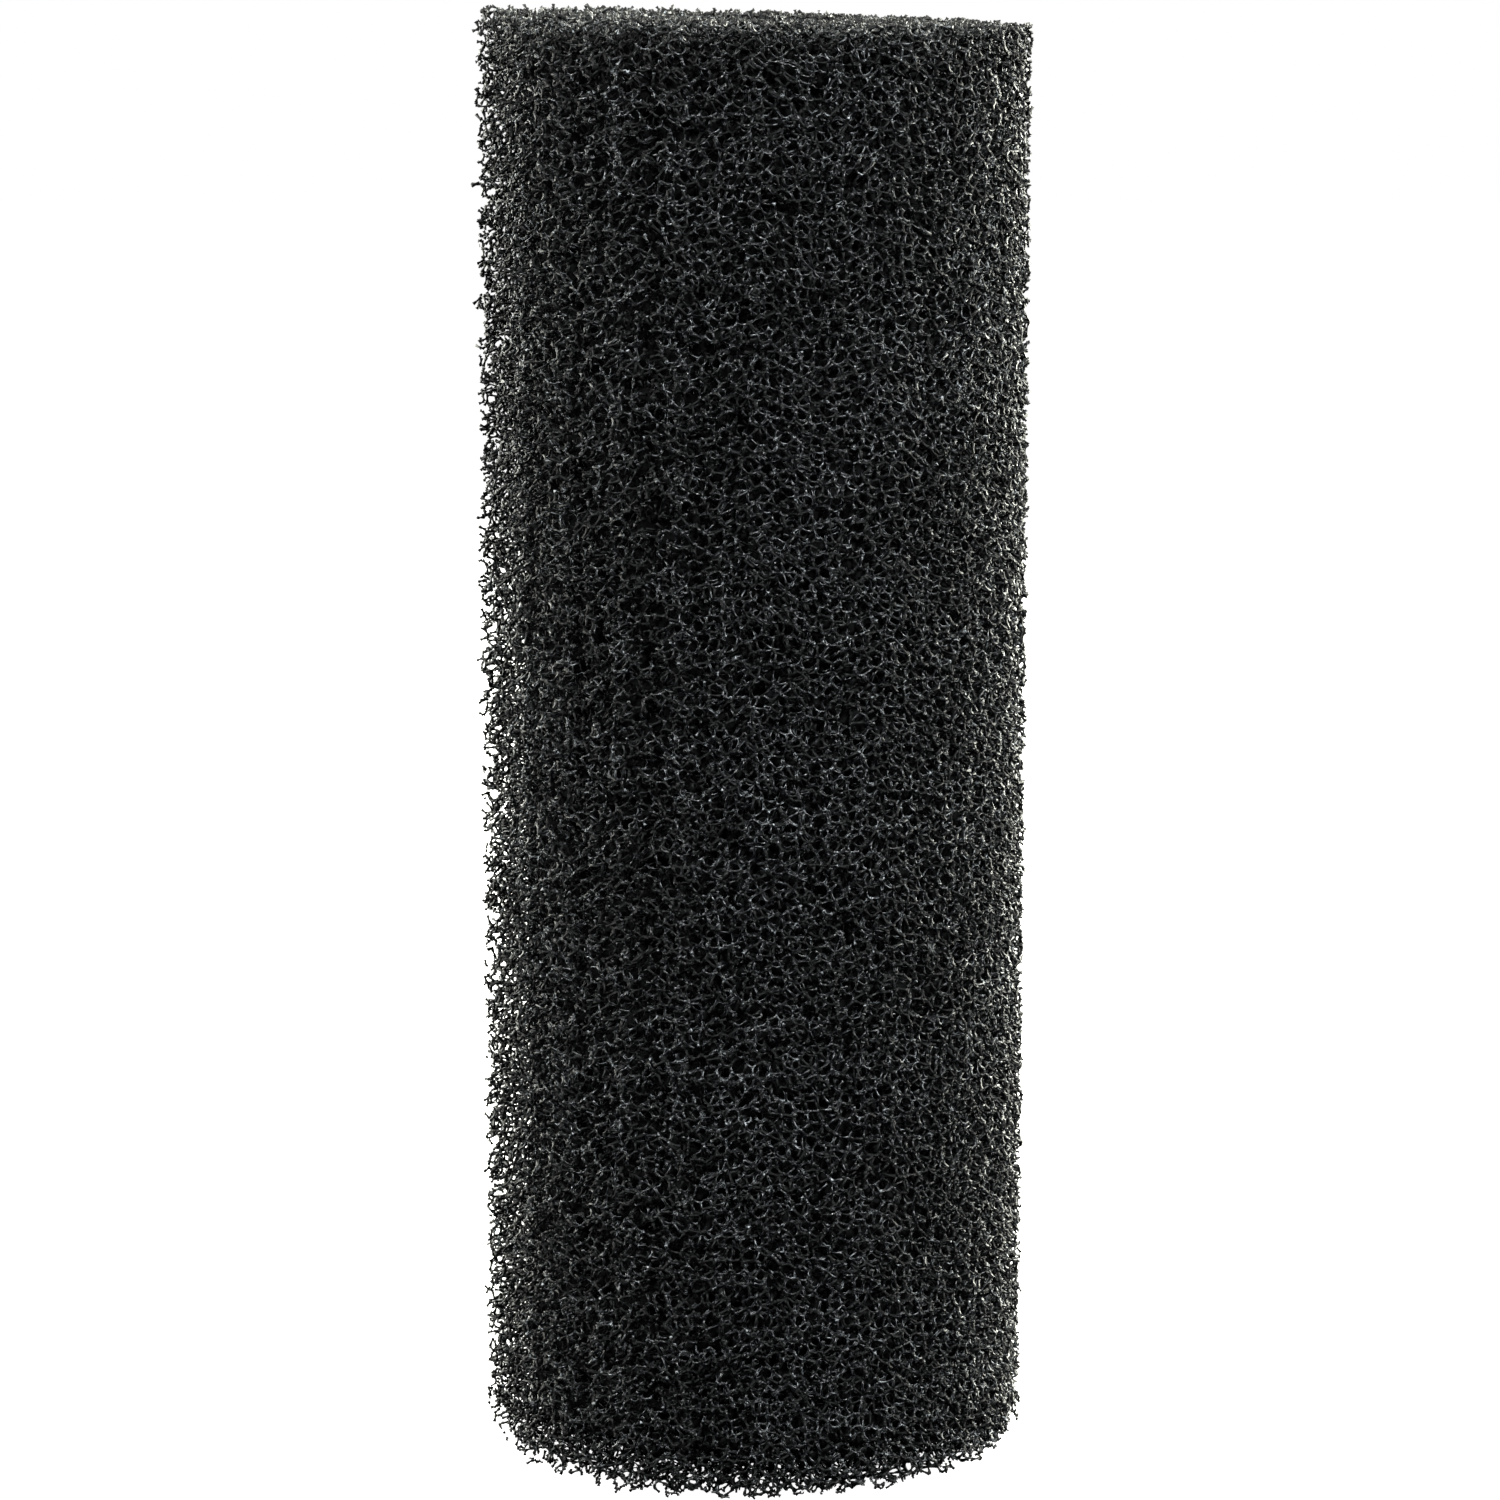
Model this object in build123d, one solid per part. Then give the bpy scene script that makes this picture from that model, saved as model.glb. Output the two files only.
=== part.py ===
from build123d import *

import os

# A cylindrical sponge filter for a pump inlet or an intake pipe, in millimetres.
#
# A thick sleeve of open-cell foam stands over a slotted core tube. Water passes through the foam,
# in at the slots, down the tube and out at the bottom, where a rubber bushing grips the pipe.
# A plug with an O-ring closes the top of the tube. The plastic is flush with the foam's bottom
# face and sunk below its top face, so the foam is all that shows from the side.
#
# The origin is at the centre of the bottom face, and +Z is the axis, towards the plug.

# Foam sleeve
FOAM_DIAMETER = 76.0
FOAM_HEIGHT = 200.0
SLEEVE_GAP = 0.3  # all round, between the core tube and the foam's bore

# Core tube
CORE_DIAMETER = 25.0
CORE_WALL = 2.0
CORE_TOP = 186.0
EDGE_CHAMFER = 0.5

# Slots in the core tube, upright, in rows with solid rings between them
SLOT_COLUMNS = 8
SLOT_ROWS = 6
SLOT_WIDTH = 3.0
RING_HEIGHT = 5.0  # the solid ring between two rows
SLOT_MARGIN = 4.0  # from the end rows to the bushing and to the plug's skirt

# Rubber bushing in the bottom of the core tube
PIPE_DIAMETER = 16.0
PIPE_DEPTH = 20.0
STOP_DIAMETER = 12.0  # the pipe ends against this smaller hole
STOP_THICKNESS = 2.0
FLANGE_THICKNESS = 2.0
BUSHING_SQUEEZE = 0.1  # radial interference in the core tube
PIPE_LEAD_IN = 0.8

# Plug in the top of the core tube
SKIRT_DEPTH = 12.0
SKIRT_GAP = 0.05  # radial running clearance in the core tube
SKIRT_HOLLOW_DIAMETER = 15.2
TAB_WIDTH = 16.0
TAB_THICKNESS = 3.0
TAB_HEIGHT = 9.0
TAB_CORNER = 4.0
GRIP_RIDGES = 3
GRIP_RIDGE = 0.8  # height of a ridge along the tab, and twice how far it stands out

# O-ring on the plug's skirt
CORD_DIAMETER = 1.6
CORD_SQUEEZE = 0.1  # how far the ring's inside is stretched over the groove's floor
GROOVE_WIDTH = 1.9

# Worked out from the above
CORE_RADIUS = CORE_DIAMETER / 2
BORE_RADIUS = CORE_RADIUS - CORE_WALL
BUSHING_TOP = PIPE_DEPTH + STOP_THICKNESS
SKIRT_RADIUS = BORE_RADIUS - SKIRT_GAP
SKIRT_BOTTOM = CORE_TOP - SKIRT_DEPTH
PLUG_TOP = CORE_TOP + FLANGE_THICKNESS
RING_CENTRE_RADIUS = SKIRT_RADIUS - CORD_DIAMETER / 2
RING_CENTRE_Z = CORE_TOP - SKIRT_DEPTH / 2
GROOVE_FLOOR_RADIUS = SKIRT_RADIUS - CORD_DIAMETER + CORD_SQUEEZE
SLOT_ZONE_BOTTOM = BUSHING_TOP + SLOT_MARGIN
SLOT_ZONE_TOP = SKIRT_BOTTOM - SLOT_MARGIN
SLOT_PITCH = (SLOT_ZONE_TOP - SLOT_ZONE_BOTTOM + RING_HEIGHT) / SLOT_ROWS
SLOT_LENGTH = SLOT_PITCH - RING_HEIGHT


def disc(radius, bottom, top):
    """A solid cylinder on the axis, from one height to another."""
    standing = (Align.CENTER, Align.CENTER, Align.MIN)
    return Pos(0, 0, bottom) * Cylinder(radius, top - bottom, align=standing)


def round_edges_at(body, height, radius):
    """The circular edges of a body that lie at this height and have this radius."""
    circles = body.edges().filter_by(GeomType.CIRCLE)
    level = circles.filter_by(lambda edge: abs(edge.center().Z - height) < 0.01)
    return level.filter_by(lambda edge: abs(edge.radius - radius) < 0.01)


def sponge_sleeve():
    """The foam cylinder, cut square at both ends, with a bore for the core tube."""
    bore = disc(CORE_RADIUS + SLEEVE_GAP, 0, FOAM_HEIGHT)
    return disc(FOAM_DIAMETER / 2, 0, FOAM_HEIGHT) - bore


def slot_cutters():
    """The upright round-ended slots, each reaching out from the axis through the wall."""
    outline = Plane.YZ * SlotOverall(SLOT_LENGTH, SLOT_WIDTH, rotation=90)
    slot = extrude(outline, CORE_DIAMETER)
    cutters = []
    for row in range(SLOT_ROWS):
        height = SLOT_ZONE_BOTTOM + SLOT_LENGTH / 2 + row * SLOT_PITCH
        for column in range(SLOT_COLUMNS):
            turn = 360 / SLOT_COLUMNS * (column + 0.5)
            cutters.append(Rot(0, 0, turn) * Pos(0, 0, height) * slot)
    return cutters


def strainer_core():
    """The slotted tube, from the bushing's flange to the plug's flange."""
    tube = disc(CORE_RADIUS, FLANGE_THICKNESS, CORE_TOP) - disc(BORE_RADIUS, 0, CORE_TOP)
    ends = round_edges_at(tube, FLANGE_THICKNESS, CORE_RADIUS)
    ends += round_edges_at(tube, CORE_TOP, CORE_RADIUS)
    return chamfer(ends, EDGE_CHAMFER) - slot_cutters()


def outlet_bushing():
    """The flanged rubber bushing: a bore for the pipe, and a smaller hole that stops it."""
    flange = disc(CORE_RADIUS, 0, FLANGE_THICKNESS)
    barrel = disc(BORE_RADIUS + BUSHING_SQUEEZE, 0, BUSHING_TOP)
    stop_hole = disc(STOP_DIAMETER / 2, 0, BUSHING_TOP)
    bushing = flange + barrel - disc(PIPE_DIAMETER / 2, 0, PIPE_DEPTH) - stop_hole
    mouth = round_edges_at(bushing, 0, PIPE_DIAMETER / 2)
    bushing = chamfer(mouth, PIPE_LEAD_IN)
    rim = round_edges_at(bushing, 0, CORE_RADIUS)
    return chamfer(rim, EDGE_CHAMFER)


def pull_tab():
    """The round-cornered fin that fingers pinch, with ridges across both its faces."""
    outline = Pos(0, TAB_HEIGHT / 2) * Rectangle(TAB_WIDTH, TAB_HEIGHT)
    outline = fillet(outline.vertices().group_by(Axis.Y)[-1], TAB_CORNER)
    tab = extrude(Plane.XZ * outline, TAB_THICKNESS / 2, both=True)
    ridge_length = TAB_WIDTH - 2 * TAB_CORNER
    for ridge in range(GRIP_RIDGES):
        height = TAB_HEIGHT * (ridge + 1) / (GRIP_RIDGES + 1)
        tab += Pos(0, 0, height) * Box(ridge_length, TAB_THICKNESS + GRIP_RIDGE, GRIP_RIDGE)
    return Pos(0, 0, PLUG_TOP) * tab


def end_plug():
    """The plug: a flange on the tube's end, a hollow skirt with an O-ring groove, and a tab."""
    skirt = disc(SKIRT_RADIUS, SKIRT_BOTTOM, CORE_TOP)
    lead_in = round_edges_at(skirt, SKIRT_BOTTOM, SKIRT_RADIUS)
    skirt = chamfer(lead_in, EDGE_CHAMFER)
    groove_bottom = RING_CENTRE_Z - GROOVE_WIDTH / 2
    groove_top = RING_CENTRE_Z + GROOVE_WIDTH / 2
    groove = disc(CORE_RADIUS, groove_bottom, groove_top)
    groove -= disc(GROOVE_FLOOR_RADIUS, groove_bottom, groove_top)
    hollow = disc(SKIRT_HOLLOW_DIAMETER / 2, SKIRT_BOTTOM, CORE_TOP)
    flange = disc(CORE_RADIUS, CORE_TOP, PLUG_TOP)
    flange = chamfer(round_edges_at(flange, PLUG_TOP, CORE_RADIUS), EDGE_CHAMFER)
    return skirt - groove - hollow + flange + pull_tab()


def plug_seal():
    """The O-ring in the plug's groove, drawn at the size the core tube squeezes it to."""
    return Pos(0, 0, RING_CENTRE_Z) * Torus(RING_CENTRE_RADIUS, CORD_DIAMETER / 2)


def main():
    pieces = {
        "sponge_sleeve": sponge_sleeve(),
        "strainer_core": strainer_core(),
        "outlet_bushing": outlet_bushing(),
        "end_plug": end_plug(),
        "plug_seal": plug_seal(),
    }
    os.makedirs("parts", exist_ok=True)
    for name, piece in pieces.items():
        export_step(piece, f"parts/{name}.step")


main()
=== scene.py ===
import math
from collections import namedtuple

import bmesh
import bpy
import numpy as np
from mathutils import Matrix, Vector


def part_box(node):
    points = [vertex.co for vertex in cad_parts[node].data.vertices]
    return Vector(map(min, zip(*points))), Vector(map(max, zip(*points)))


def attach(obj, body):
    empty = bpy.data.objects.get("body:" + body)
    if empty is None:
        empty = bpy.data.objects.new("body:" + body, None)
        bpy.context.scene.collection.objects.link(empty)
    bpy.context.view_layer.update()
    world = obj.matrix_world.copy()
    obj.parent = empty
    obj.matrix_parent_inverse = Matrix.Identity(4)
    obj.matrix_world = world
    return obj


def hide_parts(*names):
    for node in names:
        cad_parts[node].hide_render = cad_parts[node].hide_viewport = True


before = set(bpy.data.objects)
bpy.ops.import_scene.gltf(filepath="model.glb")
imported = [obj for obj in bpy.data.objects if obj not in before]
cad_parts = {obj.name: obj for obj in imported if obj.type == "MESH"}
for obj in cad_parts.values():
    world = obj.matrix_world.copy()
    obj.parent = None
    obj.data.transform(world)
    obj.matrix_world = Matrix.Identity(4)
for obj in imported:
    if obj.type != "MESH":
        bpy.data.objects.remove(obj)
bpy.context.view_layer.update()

# A sponge filter: a thick sleeve of black open-cell foam over a slotted core tube. The tube, its
# plug, the plug's O-ring and the rubber bushing keep their CAD shapes and get better materials.
# The foam is made anew, strut by strut, where light reaches it, round a plain dark heart that is painted
# shade for the foam further in.
#
# Lengths are in metres. Depths in the foam are below the nearest face that the saw left.

# The camera: a long lens a little above the filter's top, aimed at half its height.
CAMERA_DISTANCE = 0.6586  # from the axis, level
CAMERA_HEIGHT = 0.2128
AIM_HEIGHT = 0.0979
CAMERA_ASIDE = -0.0008  # the filter stands a little right of the picture's middle
CAMERA_LENS = 114.0  # in millimetres, as the next is
SENSOR = 36.0

# The foam's cells: one block of them, repeated side by side through the sleeve.
SEED = 11
CELL_SIZE = 0.0022  # the diameter of a ball as large as one cell
BLOCK_SIDE = 0.022
BLOCK_SKEW = (0.38, 0.27)  # each layer of blocks is this share of a side aside of the one below
RELAX_ROUNDS = 10
RELAX_REACH = 0.95  # in cell sizes: centres nearer than this push each other apart
RELAX_PUSH = 0.35
RELAX_NEIGHBOURS = 24
RELAX_MEMORY = 4  # the neighbours are looked up again after this many rounds
NEIGHBOURS = 34  # enough cells round one to hold all that touch it
WARP = 0.0004  # how far a slow wave bends the foam, so that no two blocks are alike
WARP_LENGTH = 0.013
# The waves that bend it: which axis bends X, Y and Z, how fast each wave runs, and its phase.
WARP_WAVES = (([1, 2, 0], 0.83, 1.3), ([2, 0, 1], 0.57, 0.4))

# A strut's shape: thin at its waist and thicker near its ends, which rounds the cells' windows.
Shape = namedtuple("Shape", "radius swell rings")
FINE = Shape(radius=0.00015, swell=2.0, rings=3)
DEEP = Shape(radius=0.000085, swell=1.35, rings=2)  # thinner, so that light passes the rims
NODE_INSET = 0.55  # in radii: how far a strut stops short of its corner
SHORTEST_STRUT = 0.00026

# How deep the foam is open, and what shows in it.
OPEN_DEPTH = 0.0044  # from the wall in to the dark heart
TOP_OPEN_DEPTH = 0.003  # the same from the top,
BOTTOM_OPEN_DEPTH = 0.0042  # from the bottom,
BORE_OPEN_DEPTH = 0.0015  # and from the bore
HEART_SHIFT = 0.0013  # the heart lies off centre, and lets more light through on the left
FINE_DEPTH = 0.0018  # struts less deep than this are seen well
CUT_DEPTH = 0.0009  # those less deep than this were within the saw's reach
RIDGE_DEPTH = 0.0005  # and those less deep than this were rubbed dull
RUBBED = 0.8  # or rather this share of them

# How the saw left the faces.
RAGGED_TOWARDS = (-0.98, 0.2)  # in X and Y, the direction of the most ragged side
RAGGED_MEAN = 0.62  # how ragged the wall is midway round, where 1 is the most ragged
RAGGED_SWING = 0.38  # and how much more or less it is on the two sides
TEAR_DEPTH = 0.0024  # the deepest that the saw tore the surface, where it is most ragged
TEAR_LENGTH = 0.0052  # of the waves below
END_TORN = 0.3  # the top and the bottom are torn this much as deep
PROUD = 0.0004  # how far the ragged wall stands out between the torn places
TOP_SLOPE = -0.025  # the top and bottom cuts weren't quite square
BOTTOM_SLOPE = 0.011
# Where the saw ran straight for a while: the middle of each flat, in degrees round from +X, and
# how many degrees it reaches to each side.
FLATS = ((160, 17.5), (197, 14.5), (20, 17.5), (-13, 11))
# The waves whose sum says where the saw tore. Each runs along one axis and is bent by a wave along
# another: the two axes, how fast it runs along each, how far it is bent, and the bend's phase.
TEAR_WAVES = (
    (0, 1, 1.0, 0.61, 1.7, 0.5),
    (1, 2, 0.87, 0.73, 1.9, 1.1),
    (2, 0, 0.93, 0.67, 1.5, 2.3),
)
TEAR_SHARE = 0.3  # raised, this makes more of the surface torn

# Which struts are left, as shares of their number.
STRAY_SHARE = 0.22  # of those that the saw meets, how many stick out uncut where it is most ragged
STRAY_LENGTH = 0.0012  # and how far at most
CUT_KEPT = 0.35  # of those it meets, how many it doesn't pull out
LOOSE_LOST = 0.5  # where it is most ragged: of the uncut ones within the saw's reach,
SEEN_LOST = 0.7  # of the other ones that are seen well,
DEEP_LOST = 0.78  # and of the deep ones, how many are missing, but fewer next to the heart
DEEP_KEPT = 0.55  # of the deep ones, which hardly show, how many are made
END_DEEP_KEPT = 0.58  # the same near the top and the bottom
END_ZONE = 0.006  # how near that is
WORN_KEPT = 0.68  # of all those next to the bottom, whose edge is worn, at most this many are left
WORN_HEIGHT = 0.0024  # how far up the wear goes

# The foam's looks.
FOAM_DARK = (0.0055, 0.0062, 0.0066)  # the broad sides of the struts
FOAM_PAINTED_HIGHLIGHT = (0.74, 0.82, 0.855)  # painted highlights on their thin edges
FOAM_SHINE = 0.75
EDGE_BAND = (0.235, 0.4)  # where the painted highlight on an edge begins and is full, from 0 mid-side to 0.5
EDGE_TAPER = 0.2  # how much it narrows towards the strut's ends
FOAM_PATCH = 0.028  # the size of patches where the painted highlights are fainter,
FOAM_SPOT = 0.0009  # of rougher spots,
FOAM_GLINT = 0.0007  # and of painted glints along an edge

# The foam is made in pieces: sectors round the sleeve, in storeys.
SECTORS = 10
STOREYS = 2
HEART_SIDES = 144
HEART_ROWS = 120

FLOOR_SIZE = 6
FLOOR_GAP = 0.0002
TINY = 1e-9  # keeps a division by a length away from zero

SLEEVE_LOW, SLEEVE_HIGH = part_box("sponge_sleeve")
RADIUS = (SLEEVE_HIGH.x - SLEEVE_LOW.x) / 2
HEIGHT = SLEEVE_HIGH.z - SLEEVE_LOW.z
CORE_LOW, CORE_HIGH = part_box("strainer_core")
CORE_GAP = 0.0006  # from the core tube to where the foam is cut, so that struts stay clear of it
BORE = (CORE_HIGH.x - CORE_LOW.x) / 2 + CORE_GAP

# Struts: their two ends, the centre of a cell beside each, how much of each the saw left, and how
# deep its shallower end was.
Struts = namedtuple("Struts", "start end centre share depth")


def make_camera():
    data = bpy.data.cameras.new("camera")
    data.lens = CAMERA_LENS
    data.sensor_width = SENSOR
    camera = bpy.data.objects.new("camera", data)
    bpy.context.collection.objects.link(camera)
    camera.location = (CAMERA_ASIDE, -CAMERA_DISTANCE, CAMERA_HEIGHT)
    ahead = Vector((0, CAMERA_DISTANCE, AIM_HEIGHT - CAMERA_HEIGHT))
    camera.rotation_euler = ahead.to_track_quat("-Z", "Y").to_euler()
    bpy.context.scene.camera = camera


# The foam's cells


def block_lattice():
    """The three steps from a block to its copies."""
    upward = (*BLOCK_SKEW, 1)
    return BLOCK_SIDE * np.array([(1, 0, 0), (0, 1, 0), upward])


def nearest(seeds, lattice, count):
    """For each seed, its nearest seeds in this block or a copy beside it."""
    steps = seeds[:, None, :] - seeds[None, :, :]
    steps -= np.round(steps)
    distance = np.linalg.norm(steps @ lattice.astype(np.float32), axis=2)
    np.fill_diagonal(distance, np.inf)
    return np.argpartition(distance, count, axis=1)[:, :count]


def offsets_to(seeds, lattice, near):
    """The vectors from each seed to its near ones."""
    steps = seeds[near] - seeds[:, None, :]
    return (steps - np.round(steps)) @ lattice


def cell_centres(lattice, rng):
    """Cell centres in one block, as shares of its sides, pushed evenly apart."""
    count = round(BLOCK_SIDE**3 / (math.pi / 6 * CELL_SIZE**3))
    seeds = rng.random((count, 3)).astype(np.float32)
    to_shares = np.linalg.inv(lattice)
    for step in range(RELAX_ROUNDS):
        if step % RELAX_MEMORY == 0:
            near = nearest(seeds, lattice, RELAX_NEIGHBOURS)
        offsets = offsets_to(seeds, lattice, near)
        distance = np.linalg.norm(offsets, axis=2, keepdims=True)
        closeness = np.clip(1 - distance / (RELAX_REACH * CELL_SIZE), 0, None)
        push = (offsets / distance * closeness).sum(axis=1)
        seeds = (seeds - RELAX_PUSH * CELL_SIZE * push @ to_shares) % 1.0
        seeds = seeds.astype(np.float32)
    return seeds


def hull_triangles(points):
    """The triangles of the points' convex hull, as indices."""
    mesh = bmesh.new()
    for index, point in enumerate(points):
        mesh.verts.new(point).index = index
    bmesh.ops.convex_hull(mesh, input=mesh.verts)
    triangles = [[v.index for v in face.verts] for face in mesh.faces]
    mesh.free()
    return triangles


def cell_corners(offsets):
    """Every corner of every cell: its cell, its three neighbours there, and its place.

    The offsets lead from each cell's centre to its neighbours', and the places are from the cell's
    centre too. A corner is as far from its own cell's centre as from the three neighbours'. With
    the offsets turned inside out through a unit ball, the neighbours that share a corner are the
    ones that share a triangle of the convex hull.
    """
    inverted = offsets / (offsets**2).sum(axis=2, keepdims=True)
    cells, triangles = [], []
    for cell, points in enumerate(inverted):
        found = hull_triangles(points)
        triangles += found
        cells += [cell] * len(found)
    cells, triangles = np.array(cells), np.array(triangles)
    planes = inverted[cells[:, None], triangles]
    places = np.linalg.solve(planes, np.full((len(cells), 3, 1), 0.5))[:, :, 0]
    return cells, triangles, places


def block_struts(lattice, seeds):
    """Every strut of one block: its two ends, and the centre of one of the three cells round it.

    A strut joins the two corners of a cell that have the same two neighbours. All three of its
    cells find it, and it is taken from the first of them.
    """
    near = nearest(seeds, lattice, NEIGHBOURS)
    offsets = offsets_to(seeds.astype(float), lattice, near) / CELL_SIZE
    cells, triangles, places = cell_corners(offsets)
    places *= CELL_SIZE
    pairs = np.concatenate([triangles[:, [0, 1]], triangles[:, [1, 2]], triangles[:, [2, 0]]])
    pairs.sort(axis=1)
    corner = np.tile(np.arange(len(cells)), 3)
    key = (cells[corner] * NEIGHBOURS + pairs[:, 0]) * NEIGHBOURS + pairs[:, 1]
    order = np.argsort(key, kind="stable")
    first, second = order[0::2], order[1::2]
    cell = cells[corner[first]]
    others = near[cell[:, None], pairs[first]]
    once = (cell[:, None] < others).all(axis=1)
    first, second, cell = first[once], second[once], cell[once]
    centre = seeds[cell] @ lattice
    return centre + places[corner[first]], centre + places[corner[second]], centre


def warped(points):
    """The points moved by a slow wave, which makes every copy of the block a little different."""
    turn = points * (2 * math.pi / WARP_LENGTH)
    wave = sum(np.sin(turn[..., axes] * pace + phase) for axes, pace, phase in WARP_WAVES)
    return points + WARP * wave


# The sawn faces


def raggedness(points):
    """How badly the saw cut at each point, 1 at the worst: it tore one side more than the other."""
    x, y, _ = points.T
    towards = (x * RAGGED_TOWARDS[0] + y * RAGGED_TOWARDS[1]) / np.maximum(np.hypot(x, y), TINY)
    return RAGGED_MEAN + RAGGED_SWING * towards


def torn(points):
    """How far the saw tore the foam away at each point: not at all in places, and most in patches."""
    turn = points * (2 * math.pi / TEAR_LENGTH)
    wave = 0
    for axis, other, pace, other_pace, bend, phase in TEAR_WAVES:
        bent = bend * np.sin(turn[:, other] * other_pace + phase)
        wave += np.sin(turn[:, axis] * pace + bent)
    share = np.clip(TEAR_SHARE + wave / len(TEAR_WAVES), 0, 1)
    return TEAR_DEPTH * raggedness(points) * share


def depth_below_faces(points):
    """How deep each point is below the nearest face that the saw left.

    Depths below the bore, the top and the bottom are stretched, because the foam is open less deep
    there.
    """
    x, y, z = points.T
    radial = np.hypot(x, y)
    top = SLEEVE_HIGH.z + TOP_SLOPE * x
    bottom = SLEEVE_LOW.z + BOTTOM_SLOPE * (x + RADIUS)
    flats = [RADIUS * math.cos(half) - x * math.cos(turn) - y * math.sin(turn)
             for turn, half in np.radians(FLATS)]
    tear = torn(points)
    wall = np.minimum.reduce([RADIUS - radial, *flats]) + PROUD * raggedness(points) - tear
    end_tear = END_TORN * tear
    above = (z - bottom - end_tear) * (OPEN_DEPTH / BOTTOM_OPEN_DEPTH)
    below = (top - z - end_tear) * (OPEN_DEPTH / TOP_OPEN_DEPTH)
    outside = (radial - BORE) * (OPEN_DEPTH / BORE_OPEN_DEPTH)
    return np.minimum.reduce([wall, above, below, outside])


def block_places(lattice):
    """Where a copy of the block has to go, for the copies to fill the sleeve."""
    reach = RADIUS + BLOCK_SIDE
    box = np.array([(x, y, z) for x in (-reach, reach) for y in (-reach, reach)
                    for z in (-BLOCK_SIDE, HEIGHT + BLOCK_SIDE)])
    shares = box @ np.linalg.inv(lattice)
    low, high = np.floor(shares.min(axis=0)).astype(int), np.ceil(shares.max(axis=0)).astype(int)
    return [(low + step) @ lattice for step in np.ndindex(*(high - low))]


def uncut_struts(rng):
    """The struts of an uncut block of foam that reach the sleeve's open layer."""
    lattice = block_lattice()
    seeds = cell_centres(lattice, rng)
    starts, ends, centres = block_struts(lattice, seeds)
    long_enough = np.linalg.norm(ends - starts, axis=1) > SHORTEST_STRUT
    starts, ends, centres = starts[long_enough], ends[long_enough], centres[long_enough]
    kept = []
    for place in block_places(lattice):
        depth = depth_below_faces(starts + place)
        here = (depth > -2 * CELL_SIZE) & (depth < OPEN_DEPTH + HEART_SHIFT + CELL_SIZE)
        if here.any():
            kept.append([points[here] + place for points in (starts, ends, centres)])
    return [warped(np.concatenate(group)) for group in zip(*kept)]


def missing(starts, shallow, cut, chance):
    """Which struts the saw or wear pulled out, and which deep ones are left out, as they hardly show."""
    ragged = raggedness(starts)
    from_end = np.minimum(starts[:, 2] - SLEEVE_LOW.z, SLEEVE_HIGH.z - starts[:, 2])
    inward = np.clip((shallow - FINE_DEPTH) / (OPEN_DEPTH + HEART_SHIFT - FINE_DEPTH), 0, 1)
    deep_lost = DEEP_LOST * ragged * (1 - inward**2)
    deep_kept = np.where(from_end < END_ZONE, END_DEEP_KEPT, DEEP_KEPT * (1 - deep_lost))
    kept = np.where(shallow > FINE_DEPTH, deep_kept, 1 - SEEN_LOST * ragged**3)
    lost = cut & (chance > CUT_KEPT)
    lost |= (shallow > CUT_DEPTH) & (chance > kept)
    lost |= (starts[:, 2] < SLEEVE_LOW.z + WORN_HEIGHT) & (chance > WORN_KEPT)
    lost |= ~cut & (shallow <= CUT_DEPTH) & (chance < LOOSE_LOST * ragged**3)
    return lost


def sleeve_struts(rng):
    """The struts of the sleeve's open outer layer, cut off at the sawn faces."""
    starts, ends, centres = uncut_struts(rng)
    depth_start, depth_end = depth_below_faces(starts), depth_below_faces(ends)
    swap = depth_start < depth_end
    starts[swap], ends[swap] = ends[swap], starts[swap]
    deep, shallow = np.maximum(depth_start, depth_end), np.minimum(depth_start, depth_end)
    cut = (deep > 0) & (shallow < 0)
    chance = rng.random(len(cut))
    ragged = raggedness(starts)
    stray = cut & (chance < STRAY_SHARE * ragged) & (shallow > -STRAY_LENGTH * ragged)
    share = np.where(cut & ~stray, deep / np.maximum(deep - shallow, TINY), 1.0)
    ends = starts + (ends - starts) * share[:, None]
    length = np.linalg.norm(ends - starts, axis=1)
    heart_depth = OPEN_DEPTH - HEART_SHIFT * starts[:, 0] / RADIUS
    keep = (deep > 0) & (shallow < heart_depth) & (length > SHORTEST_STRUT / 2)
    keep &= ~missing(starts, shallow, cut, chance)
    return chosen(Struts(starts, ends, centres, share, shallow), keep)


def chosen(struts, mask):
    return Struts(*(part[mask] for part in struts))


# The foam's meshes


def strut_points(struts, shape):
    """The corners of each strut's rings: three-sided, with its flat sides facing its cells.

    A strut is thin at its waist and thick where it meets others. One that the saw cut is shorter by
    its share, so it ends where it was still thin.
    """
    along = struts.end - struts.start
    length = np.linalg.norm(along, axis=1, keepdims=True)
    along /= length
    away = (struts.start + struts.end) / 2 - struts.centre
    away -= (away * along).sum(axis=1, keepdims=True) * along
    away /= np.linalg.norm(away, axis=1, keepdims=True)
    across = np.cross(along, away)
    points = np.empty((len(along), shape.rings, 3, 3))
    share = struts.share[:, None]
    for ring in range(shape.rings):
        up = ring / (shape.rings - 1)
        radius = shape.radius * (1 + (shape.swell - 1) * (2 * share * up - 1) ** 2)
        inset = NODE_INSET * shape.radius * np.where(share < 1, 1 - up, 1 - 2 * up)
        middle = struts.start + along * (length * up + inset)
        for corner in range(3):
            turn = 2 * math.pi * corner / 3
            outward = math.cos(turn) * away + math.sin(turn) * across
            points[:, ring, corner] = middle + radius * outward
    return points


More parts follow.
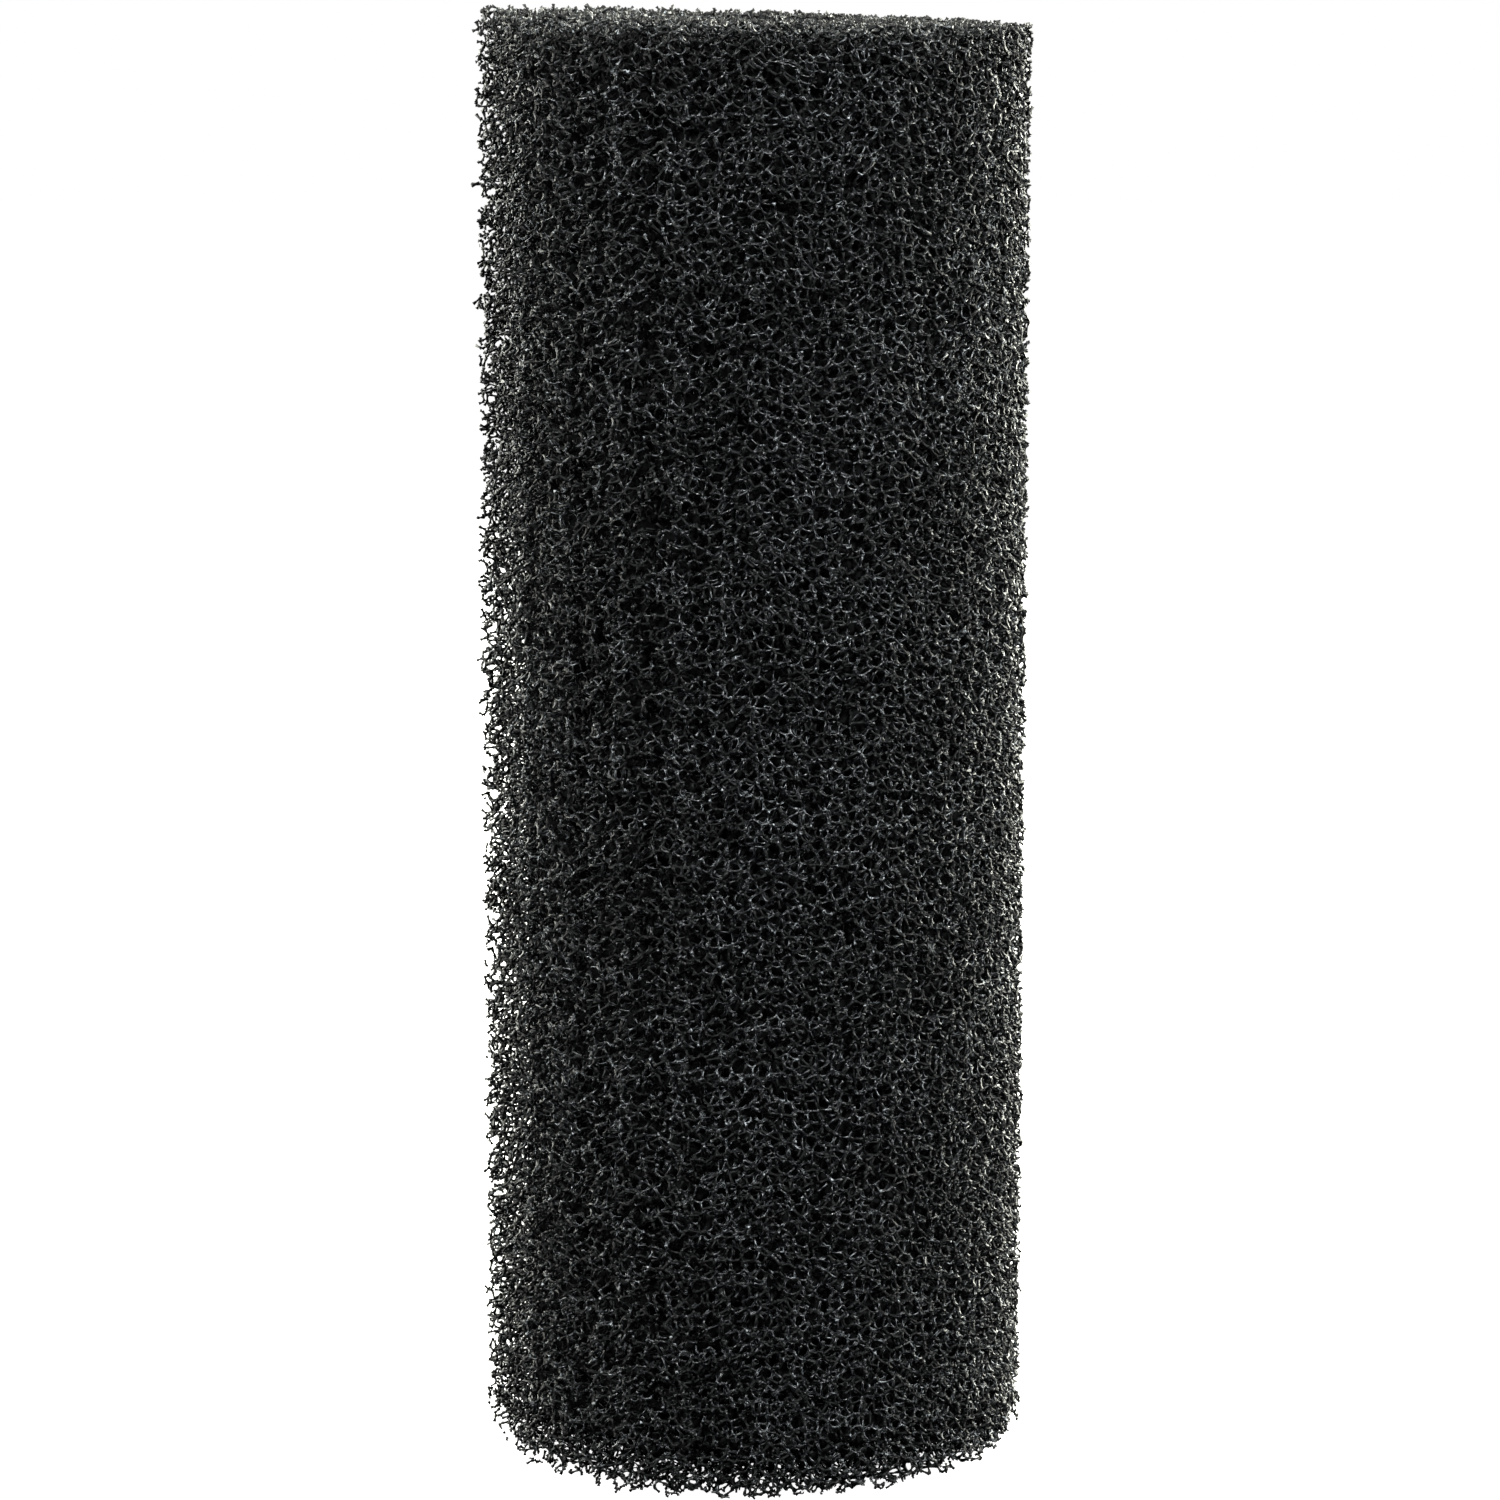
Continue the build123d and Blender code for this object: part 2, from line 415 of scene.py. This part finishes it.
def strut_pattern(rings):
    """One strut's faces: their sizes, and for each of their corners its vertex and two map places.

    The map "around" goes from 0 to 1 round the strut and up it. The map for baking is the strut
    unrolled, with its two ends above and below.
    """
    sizes = [3]
    vertices = [2, 1, 0]
    around = [(0, 0)] * 3
    unrolled = [(0.1, 0.02), (0.9, 0.02), (0.5, 0.12)]
    for ring in range(rings - 1):
        for corner in range(3):
            sizes.append(4)
            for side, up in ((0, 0), (1, 0), (1, 1), (0, 1)):
                vertices.append(3 * (ring + up) + (corner + side) % 3)
                across, along = (corner + side) / 3, (ring + up) / (rings - 1)
                around.append((across, along))
                unrolled.append((0.05 + 0.9 * across, 0.15 + 0.7 * along))
    last = 3 * rings - 3
    sizes.append(3)
    vertices += [last, last + 1, last + 2]
    around += [(0, 1)] * 3
    unrolled += [(0.1, 0.98), (0.9, 0.98), (0.5, 0.88)]
    return [np.array(part) for part in (sizes, vertices, around, unrolled)]


def joined(groups):
    """The lists that a mesh of many struts is made from.

    Each group is an array of strut points with the same number of rings, and its material's slot.
    In the map for baking, each strut has a tile of its own.
    """
    tiles = math.ceil(math.sqrt(sum(len(points) for points, _ in groups)))
    lists = []
    struts, vertices = 0, 0
    for points, slot in groups:
        count, rings = points.shape[:2]
        sizes, corners, around, unrolled = strut_pattern(rings)
        number = struts + np.arange(count)
        first = vertices + np.arange(count) * 3 * rings
        tile = np.stack([number % tiles, number // tiles], axis=1)
        lists.append((
            points.reshape(-1, 3),
            np.tile(sizes, count),
            (first[:, None] + corners).ravel(),
            np.full(count * len(sizes), slot),
            np.tile(around, (count, 1)),
            ((tile[:, None] + unrolled) / tiles).reshape(-1, 2),
        ))
        struts += count
        vertices += count * 3 * rings
    return [np.concatenate(parts) for parts in zip(*lists)]


def strut_mesh(name, groups):
    points, sizes, corners, slots, around, unrolled = joined(groups)
    mesh = bpy.data.meshes.new(name)
    mesh.vertices.add(len(points))
    mesh.vertices.foreach_set("co", points.astype(np.float32).ravel())
    mesh.loops.add(len(corners))
    mesh.loops.foreach_set("vertex_index", corners.astype(np.int32))
    mesh.polygons.add(len(sizes))
    mesh.polygons.foreach_set("loop_start", (np.cumsum(sizes) - sizes).astype(np.int32))
    mesh.polygons.foreach_set("loop_total", sizes.astype(np.int32))
    mesh.update(calc_edges=True)
    for map_name, places in (("around", around), ("OFBake", unrolled)):
        layer = mesh.uv_layers.new(name=map_name)
        layer.data.foreach_set("uv", places.astype(np.float32).ravel())
    mesh.polygons.foreach_set("material_index", slots.astype(np.int32))
    return mesh


def add_foam_piece(mesh, materials):
    """A piece of the foam, which rides on the sleeve and stands for its CAD solid."""
    for material in materials:
        mesh.materials.append(material)
    piece = bpy.data.objects.new(mesh.name, mesh)
    bpy.context.collection.objects.link(piece)
    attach(piece, "sleeve")
    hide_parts("sponge_sleeve")


def make_foam(highlighted, unhighlighted):
    """The foam's open outer layer. Rubbed struts, and deep ones in painted shade, have the material
    without painted highlights.
    """
    rng = np.random.default_rng(SEED)
    struts = sleeve_struts(rng)
    fine = struts.depth < FINE_DEPTH
    rubbed = (struts.depth < RIDGE_DEPTH) & (rng.random(len(fine)) < RUBBED)
    layers = ((fine & ~rubbed, FINE, 0), (rubbed, FINE, 1), (~fine, DEEP, 1))
    middle = (struts.start + struts.end) / 2
    turn = np.arctan2(middle[:, 0], -middle[:, 1]) / (2 * math.pi) + 0.5
    sector = np.minimum((turn * SECTORS).astype(int), SECTORS - 1)
    storey = np.clip((middle[:, 2] / HEIGHT * STOREYS).astype(int), 0, STOREYS - 1)
    for level, side in np.ndindex(STOREYS, SECTORS):
        here = (storey == level) & (sector == side)
        groups = [(strut_points(chosen(struts, here & layer), shape), slot)
                  for layer, shape, slot in layers]
        mesh = strut_mesh(f"foam_{level + 1}_{side + 1}", groups)
        add_foam_piece(mesh, (highlighted, unhighlighted))


def ring_round(radius, height, aside=0.0):
    """Points round a circle at one height, its centre moved aside along X."""
    turn = 2 * math.pi * np.arange(HEART_SIDES) / HEART_SIDES
    x, y = radius * np.cos(turn) + aside, radius * np.sin(turn)
    return np.stack([x, y, np.full(HEART_SIDES, height)], axis=1)


def make_heart(material):
    """A dark tube of painted shade that stands for the inside of the foam, where no light comes out. It
    follows the torn wall.
    """
    outer, inner = RADIUS - OPEN_DEPTH, BORE + BORE_OPEN_DEPTH
    low, high = SLEEVE_LOW.z + BOTTOM_OPEN_DEPTH, SLEEVE_HIGH.z - TOP_OPEN_DEPTH
    rows = [ring_round(outer, z, HEART_SHIFT) for z in np.linspace(low, high, HEART_ROWS)]
    for row in rows:
        row[:, :2] *= 1 - torn(row)[:, None] / outer
    rows += [ring_round(inner, high), ring_round(inner, low)]
    mesh = bmesh.new()
    rings = [[mesh.verts.new(point) for point in row] for row in rows]
    for row, ring in enumerate(rings):
        other = rings[(row + 1) % len(rings)]
        for side in range(HEART_SIDES):
            beside = (side + 1) % HEART_SIDES
            mesh.faces.new((ring[side], ring[beside], other[beside], other[side]))
    data = bpy.data.meshes.new("foam_shaded_heart")
    mesh.to_mesh(data)
    mesh.free()
    add_foam_piece(data, (material,))


# Materials


def add_node(tree, kind, inputs=(), **settings):
    """A new node, with its settings and its inputs: a number, a colour, or another node's output."""
    node = tree.nodes.new(kind)
    for name, value in settings.items():
        setattr(node, name, value)
    for name, value in dict(inputs).items():
        if isinstance(value, bpy.types.NodeSocket):
            tree.links.new(value, node.inputs[name])
        else:
            node.inputs[name].default_value = value
    return node


def maths(tree, operation, first, second=0.0):
    return add_node(tree, "ShaderNodeMath", {0: first, 1: second}, operation=operation).outputs[0]


def place_of(tree):
    return add_node(tree, "ShaderNodeTexCoord").outputs["Object"]


def noise(tree, size, detail=2.0, place=None):
    """Smooth noise from 0 to 1 whose spots are about the given size."""
    inputs = {"Vector": place or place_of(tree), "Scale": 1 / size, "Detail": detail}
    return add_node(tree, "ShaderNodeTexNoise", inputs).outputs["Fac"]


def ranged(tree, value, low, high, start=0.0, end=1.0):
    """The value carried from low..high over to start..end."""
    inputs = {"Value": value, "From Min": low, "From Max": high, "To Min": start, "To Max": end}
    node = add_node(tree, "ShaderNodeMapRange", inputs, interpolation_type="SMOOTHSTEP")
    return node.outputs["Result"]


def mottled(tree, size, start=0.0, end=1.0):
    """A value that wanders between start and end, in spots of about the given size."""
    return ranged(tree, noise(tree, size), low=0.3, high=0.7, start=start, end=end)


def blended(tree, share, first, second):
    """A colour between two colours."""
    ramp = add_node(tree, "ShaderNodeValToRGB", {"Fac": share})
    for element, colour in zip(ramp.color_ramp.elements, (first, second)):
        element.color = (*colour, 1)
    return ramp.outputs["Color"]


def bumpy(tree, height, strength, depth, edge_radius=0.0):
    """The surface's direction with bumps of a height on it, and its edges rounded if asked."""
    inputs = {"Height": height, "Strength": strength, "Distance": depth}
    if edge_radius:
        rounded = add_node(tree, "ShaderNodeBevel", {"Radius": edge_radius}, samples=6)
        inputs["Normal"] = rounded.outputs["Normal"]
    return add_node(tree, "ShaderNodeBump", inputs).outputs["Normal"]


def principled(name, shine):
    material = bpy.data.materials.new(name)
    material.use_nodes = True
    shader = material.node_tree.nodes["Principled BSDF"]
    shader.inputs["Specular IOR Level"].default_value = shine
    return material, material.node_tree


def wired(material, outputs):
    """The material, with each of these outputs led to its shader's socket of that name."""
    tree = material.node_tree
    shader = tree.nodes["Principled BSDF"]
    for socket, output in outputs.items():
        tree.links.new(output, shader.inputs[socket])
    return material


def highlighted_edges(tree):
    """1 on a strut's three edges, where a highlight is painted, and 0 between them, from its place round
    the strut and up it.
    """
    around = add_node(tree, "ShaderNodeUVMap", uv_map="around").outputs["UV"]
    place = add_node(tree, "ShaderNodeSeparateXYZ", {"Vector": around}).outputs
    side = maths(tree, "FRACT", maths(tree, "MULTIPLY", place["X"], 3.0))
    from_middle = maths(tree, "ABSOLUTE", maths(tree, "SUBTRACT", side, 0.5))
    from_waist = maths(tree, "ABSOLUTE", maths(tree, "SUBTRACT", place["Y"], 0.5))
    edge = maths(tree, "SUBTRACT", from_middle, maths(tree, "MULTIPLY", from_waist, EDGE_TAPER))
    return ranged(tree, edge, *EDGE_BAND)


def foam_material():
    """Black polyurethane: dull on its broad sides, with painted highlights on its thin edges."""
    material, tree = principled("foam", FOAM_SHINE)
    # Patches where the painted highlight is fainter.
    fainter_highlights = mottled(tree, FOAM_PATCH, start=0.42)
    # Painted glints: spots where the painted edge highlight is brighter.
    painted_glint = ranged(tree, noise(tree, FOAM_GLINT), low=0.46, high=0.74, start=0.08)
    # share: how much of the painted highlight colour each place gets
    share = maths(tree, "MULTIPLY", highlighted_edges(tree), maths(tree, "MULTIPLY", fainter_highlights, painted_glint))
    return wired(material, {
        "Base Color": blended(tree, share, FOAM_DARK, FOAM_PAINTED_HIGHLIGHT),
        "Roughness": mottled(tree, FOAM_SPOT, start=0.24, end=0.42),
        "Normal": bumpy(tree, noise(tree, size=0.0002), strength=0.25, depth=0.00004),
    })


def worn_and_shaded_foam_material(name, colour, shine):
    """The same foam without painted highlights on its edges: worn where it was rubbed, and painted shade
    further in, where little light comes.
    """
    material, tree = principled(name, shine)
    darker = [0.5 * part for part in colour]
    return wired(material, {
        "Base Color": blended(tree, mottled(tree, size=0.0012), darker, colour),
        "Roughness": mottled(tree, FOAM_SPOT, start=0.45, end=0.6),
    })


def moulded_plastic(name, colour, streak, parting_line):
    """Injection-moulded plastic: a spark-eroded grain, faint flow streaks along Z, and soft edges."""
    material, tree = principled(name, shine=0.5)
    place = place_of(tree)
    drawn_out = add_node(tree, "ShaderNodeMapping", {"Vector": place, "Scale": (1, 1, 0.06)})
    streaks = noise(tree, streak, detail=3.0, place=drawn_out.outputs["Vector"])
    cloud = maths(tree, "ADD", streaks, noise(tree, size=0.009))
    paler = [1.7 * part for part in colour]
    grain = noise(tree, size=0.00028, detail=4.0)
    if parting_line:
        x = add_node(tree, "ShaderNodeSeparateXYZ", {"Vector": place}).outputs["X"]
        line = ranged(tree, maths(tree, "ABSOLUTE", x), low=0.00008, high=0.0002, start=2.5, end=0.0)
        grain = maths(tree, "ADD", grain, line)
    return wired(material, {
        "Base Color": blended(tree, ranged(tree, cloud, low=0.75, high=1.3), colour, paler),
        "Roughness": mottled(tree, size=0.0016, start=0.34, end=0.5),
        "Normal": bumpy(tree, grain, strength=0.35, depth=0.00004, edge_radius=0.0003),
    })


def moulded_rubber(name, colour, bloom, dullest, shine):
    """Rubber: soft edges, a fine skin, and a pale bloom of powder in patches."""
    material, tree = principled(name, shine)
    patches = ranged(tree, noise(tree, size=0.005, detail=4.0), low=0.4, high=0.75)
    specks = ranged(tree, noise(tree, size=0.0006, detail=3.0), low=0.35, high=0.7, start=0.25)
    powder = maths(tree, "MULTIPLY", patches, specks)
    return wired(material, {
        "Base Color": blended(tree, powder, colour, bloom),
        "Roughness": ranged(tree, powder, low=0.0, high=1.0, start=dullest - 0.2, end=dullest),
        "Normal": bumpy(tree, noise(tree, size=0.0004, detail=5.0), strength=0.3, depth=0.00005,
                        edge_radius=0.0004),
    })


def finish_node(name, material):
    """Gives a CAD part its better material."""
    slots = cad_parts[name].data.materials
    slots.clear()
    slots.append(material)


def finish_plastic_and_rubber():
    core = moulded_plastic("core_plastic", (0.02, 0.021, 0.0225), streak=0.0012, parting_line=True)
    plug = moulded_plastic("plug_plastic", (0.024, 0.025, 0.027), streak=0.002, parting_line=False)
    bushing = moulded_rubber("bushing_rubber", (0.022, 0.022, 0.022), bloom=(0.075, 0.074, 0.07),
                             dullest=0.8, shine=0.35)
    seal = moulded_rubber("seal_rubber", (0.01, 0.01, 0.01), bloom=(0.03, 0.03, 0.03),
                          dullest=0.5, shine=0.5)
    finish_node("strainer_core", core)
    finish_node("end_plug", plug)
    finish_node("outlet_bushing", bushing)
    finish_node("plug_seal", seal)


# The studio

# Each light's name, place, width, power in watts, and colour. They all face the filter's middle.
LIGHTS = (
    ("front", (0.28, -0.75, 0.85), 0.12, 11.5, (1, 1, 1)),
    ("side_right", (0.75, -0.35, 0.5), 0.15, 3.6, (1, 1, 1)),
    ("side_left", (-0.7, -0.55, 0.55), 0.15, 5.4, (1, 1, 1)),
    ("rim_left", (-0.57, 0.4, 0.25), 0.9, 16, (1, 1, 0.9)),
    ("rim_right", (0.52, 0.5, 0.25), 0.9, 33, (1, 1, 0.88)),
    ("top", (0, 0.3, 0.9), 0.9, 1.6, (1, 1, 0.9)),
)


def make_light(name, place, width, watts, colour):
    data = bpy.data.lights.new(name, "AREA")
    data.shape = "DISK"
    data.size = width
    data.energy = watts
    data.color = colour
    light = bpy.data.objects.new(name, data)
    bpy.context.collection.objects.link(light)
    light.location = place
    ahead = Vector((0, 0, HEIGHT / 2)) - Vector(place)
    light.rotation_euler = ahead.to_track_quat("-Z", "Y").to_euler()


def make_floor():
    """A white floor just below the filter, which only the camera sees, as it does the backdrop."""
    bpy.ops.mesh.primitive_plane_add(size=FLOOR_SIZE, location=(0, 0, SLEEVE_LOW.z - FLOOR_GAP))
    floor = bpy.context.object
    floor.name = "floor"
    paint, tree = principled("floor", shine=0.3)
    shader = tree.nodes["Principled BSDF"]
    shader.inputs["Base Color"].default_value = (0.8, 0.8, 0.8, 1)
    shader.inputs["Emission Color"].default_value = (1, 1, 1, 1)
    shader.inputs["Emission Strength"].default_value = 1.0
    floor.data.materials.append(paint)
    floor.visible_diffuse = False
    floor.visible_glossy = False


def make_backdrop():
    world = bpy.data.worlds.new("studio")
    world.use_nodes = True
    background = world.node_tree.nodes["Background"]
    background.inputs["Color"].default_value = (1, 1, 1, 1)
    background.inputs["Strength"].default_value = 1.0
    world.cycles_visibility.diffuse = False
    world.cycles_visibility.glossy = False
    bpy.context.scene.world = world
    bpy.context.scene.view_settings.view_transform = "Standard"


make_camera()
# The deep struts' colour is painted shade: a darker copy of the foam without its painted highlights.
make_foam(foam_material(), worn_and_shaded_foam_material("foam_worn_and_shaded", (0.015, 0.0163, 0.017), shine=0.25))
# The heart's colour is painted shade for the deep foam.
make_heart(worn_and_shaded_foam_material("foam_shaded_heart", (0.012, 0.0125, 0.013), shine=0))
finish_plastic_and_rubber()
make_floor()
make_backdrop()
for light in LIGHTS:
    make_light(*light)
